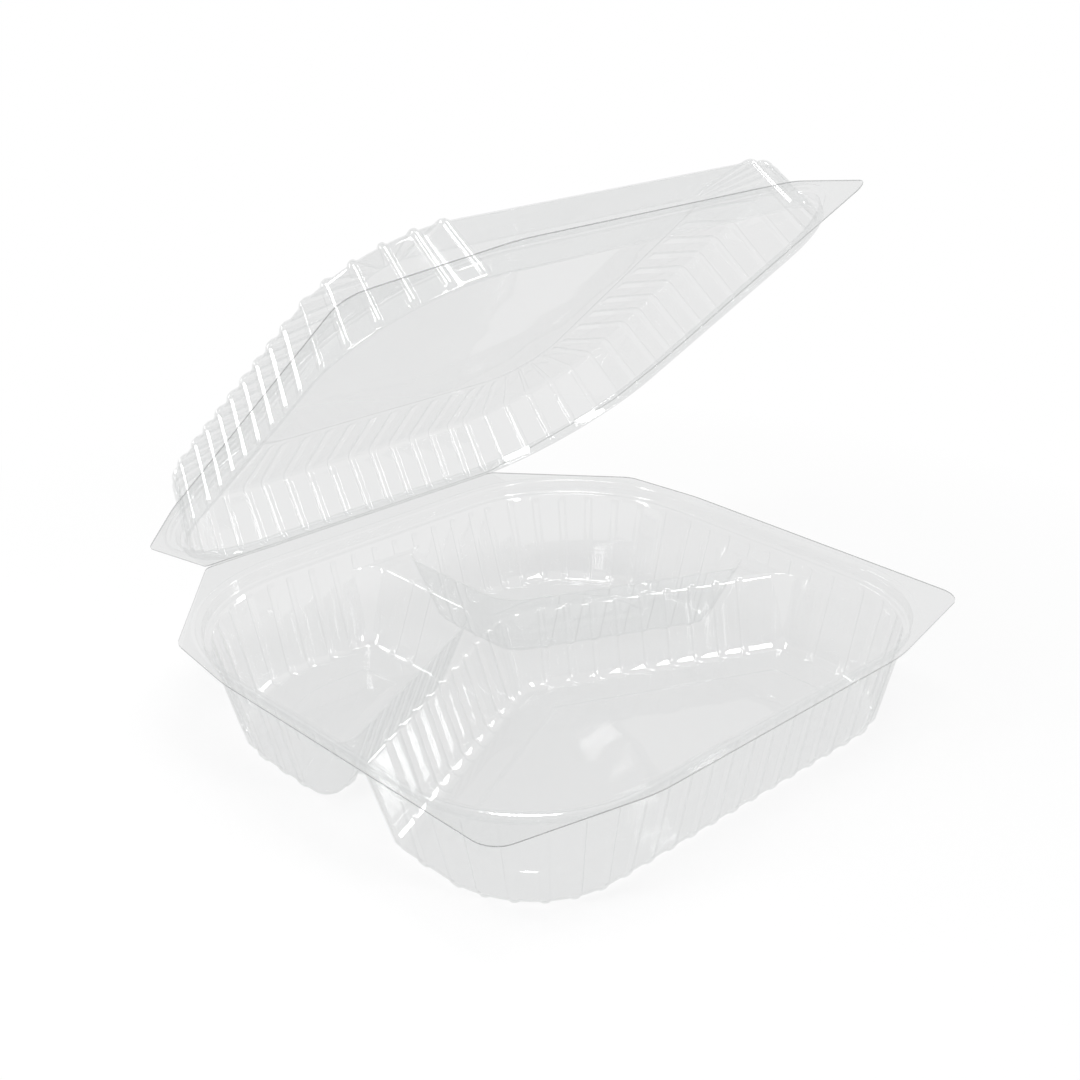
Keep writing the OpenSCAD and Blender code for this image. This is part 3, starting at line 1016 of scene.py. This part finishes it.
    def add_pocket(self, mesh: SheetMesh, pocket: Outline, stations: Sequence[Station]) -> list[int]:
        """Adds one pocket's floor and walls.

        Args:
            mesh: the mesh that takes them.
            pocket: the pocket's outline.
            stations: its stations.

        Returns:
            The pocket's top ring, level with the dividers' tops.
        """
        z0 = self.footprint.sheet
        zd, zp, b = self.divider_z, z0 + self.panel_rise, self.border
        floor = [(zp, -(b + 3.0)), (zp, -(b + 2.0)), (z0 + 0.5 * self.panel_rise, -(b + 0.9))]
        floor += [(z0, -b), (z0, -(b - 1.0)), (z0, -(self.foot + 1.0)), (z0, -self.foot)]
        rings = [Ring(z0, z, out) for z, out in floor]
        bend = rounded((-self.foot, z0), (0.0, z0), (0.0, z0 + self.foot), 4)
        for (out, z), share in zip(bend, (0.25, 0.7, 1.0)):
            rings.append(Ring(z0, z, out, rib=share, tilt=-40.0 * (1 - share)))
        walls = [z0 + self.foot, z0 + 5, 0.5 * (z0 + zd), zd - 3.4, zd - 2.4]
        rings += [Ring(z, z, rib=1.0, short=max(0.0, (z - zd + 4) / 4)) for z in walls]
        for step in range(4):
            a = math.radians(UPRIGHT * step / 3)
            z = zd - self.lip * (1 - math.sin(a))
            short = max(0.0, (z - zd + 4) / 4)
            rings.append(Ring(z, z, rib=1.0, lip=self.lip * (1 - math.cos(a)), short=short))
        rings.append(Ring(zd, zd, rib=1.0, lip=self.lip + 0.6, short=1.0))
        numbers = [mesh.ring(pocket, stations, r) for r in rings]
        mesh.fill(unique(numbers[0]))
        for a, c in zip(numbers, numbers[1:]):
            mesh.strip(a, c)
        return numbers[-1]


@dataclass(frozen=True)
class FlangeBead:
    """The low bead that stiffens both flanges, close to the seat."""

    start: float = 4.6
    width: float = 1.6
    height: float = 0.35

    def profile(self, z: float) -> list[tuple[float, float]]:
        """The bead as points of out and height, with the flat on both sides."""
        found = [(self.start - 0.3, z)]
        for k in range(7):
            t = k / 6
            found.append((self.start + t * self.width, z + self.height * math.sin(math.pi * t) ** 2))
        return found + [(self.start + self.width + 0.4, z)]


@dataclass(frozen=True)
class Seat:
    """The side of the seat, and of the plug that nests in it: ledge, side, snap bead and flange."""

    ledge: float = 1.7
    side: float = 2.6
    bead: float = 2.9
    flat: float = 3.9

    def profile(self, foot: float, top: float, inset: float = 0.0) -> list[Place]:
        """The side as points of out and height.

        Args:
            foot: height of the ledge.
            top: height of the flange.
            inset: how far inside the seat the line runs.

        Returns:
            The points from the ledge out to the flange's flat.
        """
        ledge, side, bead = self.ledge - inset, self.side - inset, self.bead - inset
        heel = [(ledge, foot), (side - 0.1, foot), (side, foot + 0.8)]
        snap = [(side + 0.15, top - 2.2), (bead + 0.1, top - 1.9), (bead, top - 1.5)]
        neck = [(bead + 0.15, top - 0.7), (bead + 0.25, top), (self.flat, top)]
        points = [heel[0], *rounded(*heel, 3), heel[2], snap[0], *rounded(*snap, 2)]
        return [*points, neck[0], *rounded(*neck, 4), neck[2], *FlangeBead().profile(top)]


def unique(numbers: Sequence[int]) -> list[int]:
    """A ring without the points that follow themselves."""
    return [n for i, n in enumerate(numbers) if n != numbers[i - 1]]


def add_flange(mesh: SheetMesh, footprint: Footprint, inner: Sequence[int], z: float) -> None:
    """Adds the level flange between a ring and the cut edge.

    Args:
        mesh: the mesh that takes it.
        footprint: the flange's outline.
        inner: the ring inside it.
        z: the flange's height.
    """
    edge = [mesh.add((x, y, z)) for x, y in footprint.outline()]
    held = [mesh.add((x, y, z)) for x, y in footprint.outline(0.5)]
    mesh.strip(held, edge)
    mesh.fill(unique(held), [inner])


# Lid


@dataclass
class Lid:
    """The upper half: flange, plug, low ribbed wall with a plain front, ribbed border and sunken panel."""

    tray: Tray
    fold: Fold
    plug_gap: float = 0.3
    wall_height: float = 18.0
    top_height: float = 21.5
    lean: float = 0.25
    shoulder: float = 3.5
    border: float = 24.0
    step: float = 6.0
    panel_drop: float = 2.0
    panel_bend: float = 0.6

    @property
    def plug_depth(self) -> float:
        """How far the plug reaches below the flange."""
        return self.tray.seat_depth - self.plug_gap

    def outline(self) -> Outline:
        """The lid's walls, as upright walls that the rings move in and out."""
        walls = self.tray.outer_walls(front_ribs=False)
        front, hinge = self.tray.outer_corners()
        upright = [Wall(w.facing, w.reach, 0.0, 0.0, w.ribbed) for w in walls.values()]
        corners = [Corner(c.radius, 0.0, 0.0, c.ribs) for c in (front, hinge, hinge, front)]
        return Outline(upright, corners, self.tray.ribs)

    def rings(self) -> list[Ring]:
        """Rings from the panel out to the flange, along the side that faces the food."""
        g, top, drop = self.plug_gap, self.top_height, self.panel_drop
        foot = -self.plug_depth
        wall_top = self.wall_height - self.shoulder
        wall_out = -g - self.lean * (wall_top - foot)
        edge = wall_out - self.shoulder
        rim = edge - self.border
        low = top - drop
        foot_out, bend, rise = rim - self.step, self.panel_bend, drop / self.step
        low_bend = rounded((foot_out - bend, low), (foot_out, low), (foot_out + bend, low + bend * rise), 3)
        high_bend = rounded((rim - bend, top - bend * rise), (rim, top), (rim + bend, top - 0.08), 3)
        step = [(foot_out - 2.0, low), (foot_out - bend, low), *low_bend]
        step += [(foot_out + bend, low + bend * rise), (rim - bend, top - bend * rise)]
        step += [*high_bend, (rim + bend, top - 0.08)]
        rings = [Ring(0, z, out) for out, z in step]
        swell = ((0.05, 0.0), (0.1, 0.0), (0.14, 0.35), (0.19, 0.85), (0.25, 1.0), (0.5, 1.0), (0.75, 1.0))
        for share, rib in swell:
            z = top - (top - self.wall_height) * share
            rings.append(Ring(0, z, rim + self.border * share, rib=rib, tilt=UPRIGHT))
        rings.append(Ring(0, self.wall_height, edge, rib=1.0, tilt=80.0))
        bend = rounded((edge, self.wall_height), (wall_out, self.wall_height - 0.2), (wall_out, wall_top), 5)
        for k, (out, z) in enumerate(bend):
            rings.append(Ring(0, z, out, rib=1.0, tilt=64.0 - 16.0 * k))
        rings.append(Ring(0, wall_top, wall_out, rib=1.0))
        for share in (0.35, 0.7):
            z = wall_top + (foot + 3.0 - wall_top) * share
            rings.append(Ring(0, z, -g - self.lean * (z - foot), rib=1.0))
        for z, rib in ((foot + 3.0, 1.0), (foot + 2.2, 0.7), (foot + 1.5, 0.25), (foot + 0.8, 0.0)):
            rings.append(Ring(0, z, -g - self.lean * (z - foot), rib=rib))
        start, end = (-g - self.lean * 0.8, foot + 0.8), (0.5, foot)
        profile = [*rounded(start, (-g, foot), end, 3), end, *Seat().profile(foot, 0.0, g)]
        return rings + [Ring(0, z, out) for out, z in profile]

    def build(self, press: RibPress) -> bpy.types.Object:
        """Makes the lid's sheet, open as it stands.

        Args:
            press: gives it ribs and thickness.

        Returns:
            The finished object.
        """
        mesh = SheetMesh()
        outline = self.outline()
        stations = outline.stations([0.0])
        numbers = [mesh.ring(outline, stations, r) for r in self.rings()]
        mesh.fill(unique(numbers[0]))
        for a, b in zip(numbers, numbers[1:]):
            mesh.strip(a, b)
        add_flange(mesh, self.tray.footprint, numbers[-1], 0.0)
        raw = mesh.build("lid_sheet", self.fold.place, True)
        return press.form(raw)


# Crease


@dataclass
class Crease:
    """The bent strip of sheet along the hinge edge."""

    footprint: Footprint
    fold: Fold
    steps: int = 14
    along: int = 24

    def build(self, material: bpy.types.Material) -> bpy.types.Object:
        """Makes the strip.

        Args:
            material: its finish.

        Returns:
            The object.
        """
        half = self.footprint.width / 2 - self.footprint.clip_x - self.footprint.clip_radius / 4
        inner, outer = self.fold.gap / 2, self.fold.gap / 2 + self.footprint.sheet
        first, last = -UPRIGHT, UPRIGHT - self.fold.open_angle
        section = [(outer, first + (last - first) * k / self.steps) for k in range(self.steps + 1)]
        section += [(inner, a) for _, a in reversed(section)]
        points, faces = [], []
        n = len(section)
        for i in range(self.along + 1):
            x = -half + 2 * half * i / self.along
            for r, a in section:
                w = facing_vector(a)
                points.append((x * MM, (self.fold.y + r * w[0]) * MM, (self.fold.z + r * w[1]) * MM))
        for i in range(self.along):
            for k in range(n):
                a, b = i * n + k, i * n + (k + 1) % n
                faces.append((a, a + n, b + n, b))
        faces.append(tuple(range(n)))
        faces.append(tuple(range(self.along * n + n - 1, self.along * n - 1, -1)))
        mesh = bpy.data.meshes.new("crease")
        mesh.from_pydata(points, [], faces)
        mesh.validate()
        return finished(added("crease", mesh), [material], 60.0)


# Stage


class Lamp(Enum):
    """The soft lights: place in metres, width, height and radiance."""

    OVERHEAD = ((0.0, -0.05, 1.35), 0.40, 0.62, 8.0)
    BEHIND = ((-0.55, 1.05, 0.80), 0.50, 0.25, 6.0)
    LEFT = ((-1.08, 0.28, 0.72), 0.22, 0.75, 9.0)
    FRONT = ((0.21, -1.13, 0.70), 0.24, 0.40, 10.0)
    RIGHT = ((1.25, -0.40, 0.32), 0.12, 0.34, 8.0)


@dataclass
class Studio:
    """White floor, even light and the camera."""

    focal_px: float = 1609.67
    azimuth: float = -44.93
    elevation: float = 24.09
    roll: float = 1.14
    distance: float = 559.15
    shift: tuple[float, float] = (2.76, 22.70)
    frame_px: float = 1080.0
    target_z: float = 39.5
    fill: float = 0.32
    # Painted shade: the share of white left on backdrop and floor where they are seen through clear sheet
    through: float = 0.84
    near_white: float = 0.55
    shadow_reach: float = 0.14
    shadow_fade: float = 5.0
    floor_half: float = 4.0
    floor_below: float = 0.0002

    def camera(self) -> None:
        """Sets up the camera at the photograph's angle."""
        a, e, r = (math.radians(v) for v in (self.azimuth, self.elevation, self.roll))
        back = Vector((math.sin(a) * math.cos(e), -math.cos(a) * math.cos(e), math.sin(e)))
        forward = -back
        right = forward.cross(Vector((0, 0, 1))).normalized()
        down = forward.cross(right)
        right2 = right * math.cos(r) - down * math.sin(r)
        down2 = right * math.sin(r) + down * math.cos(r)
        place = back * self.distance - right2 * self.shift[0] - down2 * self.shift[1]
        place.z += self.target_z
        data = bpy.data.cameras.new("view")
        data.sensor_width = 36.0
        data.lens = 36.0 * self.focal_px / self.frame_px
        data.clip_start = 0.01
        camera = added("view", data)
        axes = Matrix((right2, -down2, back)).transposed().to_4x4()
        camera.matrix_world = Matrix.Translation(place * MM) @ axes
        bpy.context.scene.camera = camera

    def lamps(self) -> None:
        """Adds the soft lights."""
        for lamp in Lamp:
            place, width, height, radiance = lamp.value
            data = bpy.data.lights.new(lamp.name.lower(), "AREA")
            data.shape = "RECTANGLE"
            data.size, data.size_y, data.energy = width, height, 4.0 * width * height * radiance
            light = added(lamp.name.lower(), data)
            light.location = place
            aim = Vector((0.0, 0.0, self.target_z * MM)) - Vector(place)
            light.rotation_euler = aim.to_track_quat("-Z", "Y").to_euler()

    def world(self) -> None:
        """White backdrop all round, painted light grey as shade where clear sheet stands before it, and a
        plain fill that lights the container.
        """
        world = bpy.data.worlds.new("studio")
        bpy.context.scene.world = world
        world.use_nodes = True
        world.cycles.sampling_method = "NONE"
        tree = world.node_tree
        tree.nodes.clear()
        n = NodeMaker(tree)
        path = n.node("ShaderNodeLightPath")
        shown = n.node("ShaderNodeBackground", None, Color=WHITE, Strength=self.backdrop_shade(n, path))
        fill = n.node("ShaderNodeBackground", None, Color=WHITE, Strength=self.fill)
        mixed = n.mix(self.seen(n, path), fill, shown)
        n.node("ShaderNodeOutputWorld", None, Surface=mixed.outputs[0])

    def seen(self, n: NodeMaker, path: bpy.types.Node) -> Signal:
        """1 for camera, mirror and glass rays, else 0."""
        rays = n.signal(path, "Is Camera Ray") + n.signal(path, "Is Glossy Ray")
        return (rays + n.signal(path, "Is Transmission Ray")).clamped()

    def backdrop_shade(self, n: NodeMaker, path: bpy.types.Node) -> Signal:
        """Painted shade on the backdrop: white in the open, painted light grey where clear sheet stands
        before it.
        """
        sheets = n.signal(path, "Transparent Depth").clamped()
        return 1.0 - (1.0 - self.through) * sheets

    def floor(self) -> bpy.types.Object:
        """Adds the white floor, which keeps the container's shadow and is painted darker, as shade, where it
        is seen through the clear sheet.
        """
        half, z = self.floor_half, -self.floor_below
        mesh = bpy.data.meshes.new("floor")
        corners = [(x * half, y * half, z) for x, y in ((-1, -1), (1, -1), (1, 1), (-1, 1))]
        mesh.from_pydata(corners, [], [(0, 1, 2, 3)])
        floor = added("floor", mesh)
        mat, n = empty_material("floor_white")
        path = n.node("ShaderNodeLightPath")
        matt = n.node("ShaderNodeBsdfDiffuse", None, Color=(0.9, 0.9, 0.9, 1.0))
        lift = n.node("ShaderNodeEmission", None, Color=WHITE, Strength=1.0)
        dark = n.node("ShaderNodeEmission", None, Color=(0, 0, 0, 1), Strength=0.0)
        where = n.node("ShaderNodeTexCoord").outputs["Object"]
        away = n.signal(n.node("ShaderNodeVectorMath", {"operation": "LENGTH"}, Vector=where), "Value")
        far = ((away - self.shadow_reach) * self.shadow_fade).clamped()
        share = self.seen(n, path) * (self.near_white + (1.0 - self.near_white) * far)
        # Painted shade: the floor is painted darker where it is seen through the clear sheet
        shade = n.mix(1.0 - self.backdrop_shade(n, path), n.mix(share, matt, lift), dark)
        n.node("ShaderNodeOutputMaterial", None, Surface=shade.outputs[0])
        mesh.materials.append(mat)
        return floor

    def build(self) -> None:
        """Sets the whole stage."""
        scene = bpy.context.scene
        scene.view_settings.view_transform = "Standard"
        scene.cycles.transparent_max_bounces = 32
        scene.cycles.max_bounces = 4
        scene.cycles.glossy_bounces = 2
        scene.cycles.diffuse_bounces = 1
        self.camera()
        self.lamps()
        self.world()
        self.floor()


# Container


def main() -> None:
    """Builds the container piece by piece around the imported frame."""
    logging.basicConfig(level=logging.INFO, format="%(name)s: %(message)s")
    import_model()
    footprint, ribs, fold = Footprint(), Ribs(), Fold()
    Studio().build()
    film = ClearSheet("clear_sheet").make()
    edge = CutEdge("cut_edge").make()
    press = RibPress(ribs, footprint.sheet, film, edge)
    tray = Tray(footprint, ribs)
    pieces = [
        (tray.build(press), "tray", "tray_sheet", "base_tray"),
        (Lid(tray, fold).build(press), "lid", "lid_sheet", "lid"),
    ]
    for piece, body, slot, node in pieces:
        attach(piece, body)
        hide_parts(node)
        log.info("%s: %d faces, on %s", piece.name, len(piece.data.polygons), body)
    crease = Crease(footprint, fold)
    strip = crease.build(film)
    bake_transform(strip)
    log.info("%s: %d faces, between tray and lid", strip.name, len(strip.data.polygons))


if __name__ == "__main__":
    main()
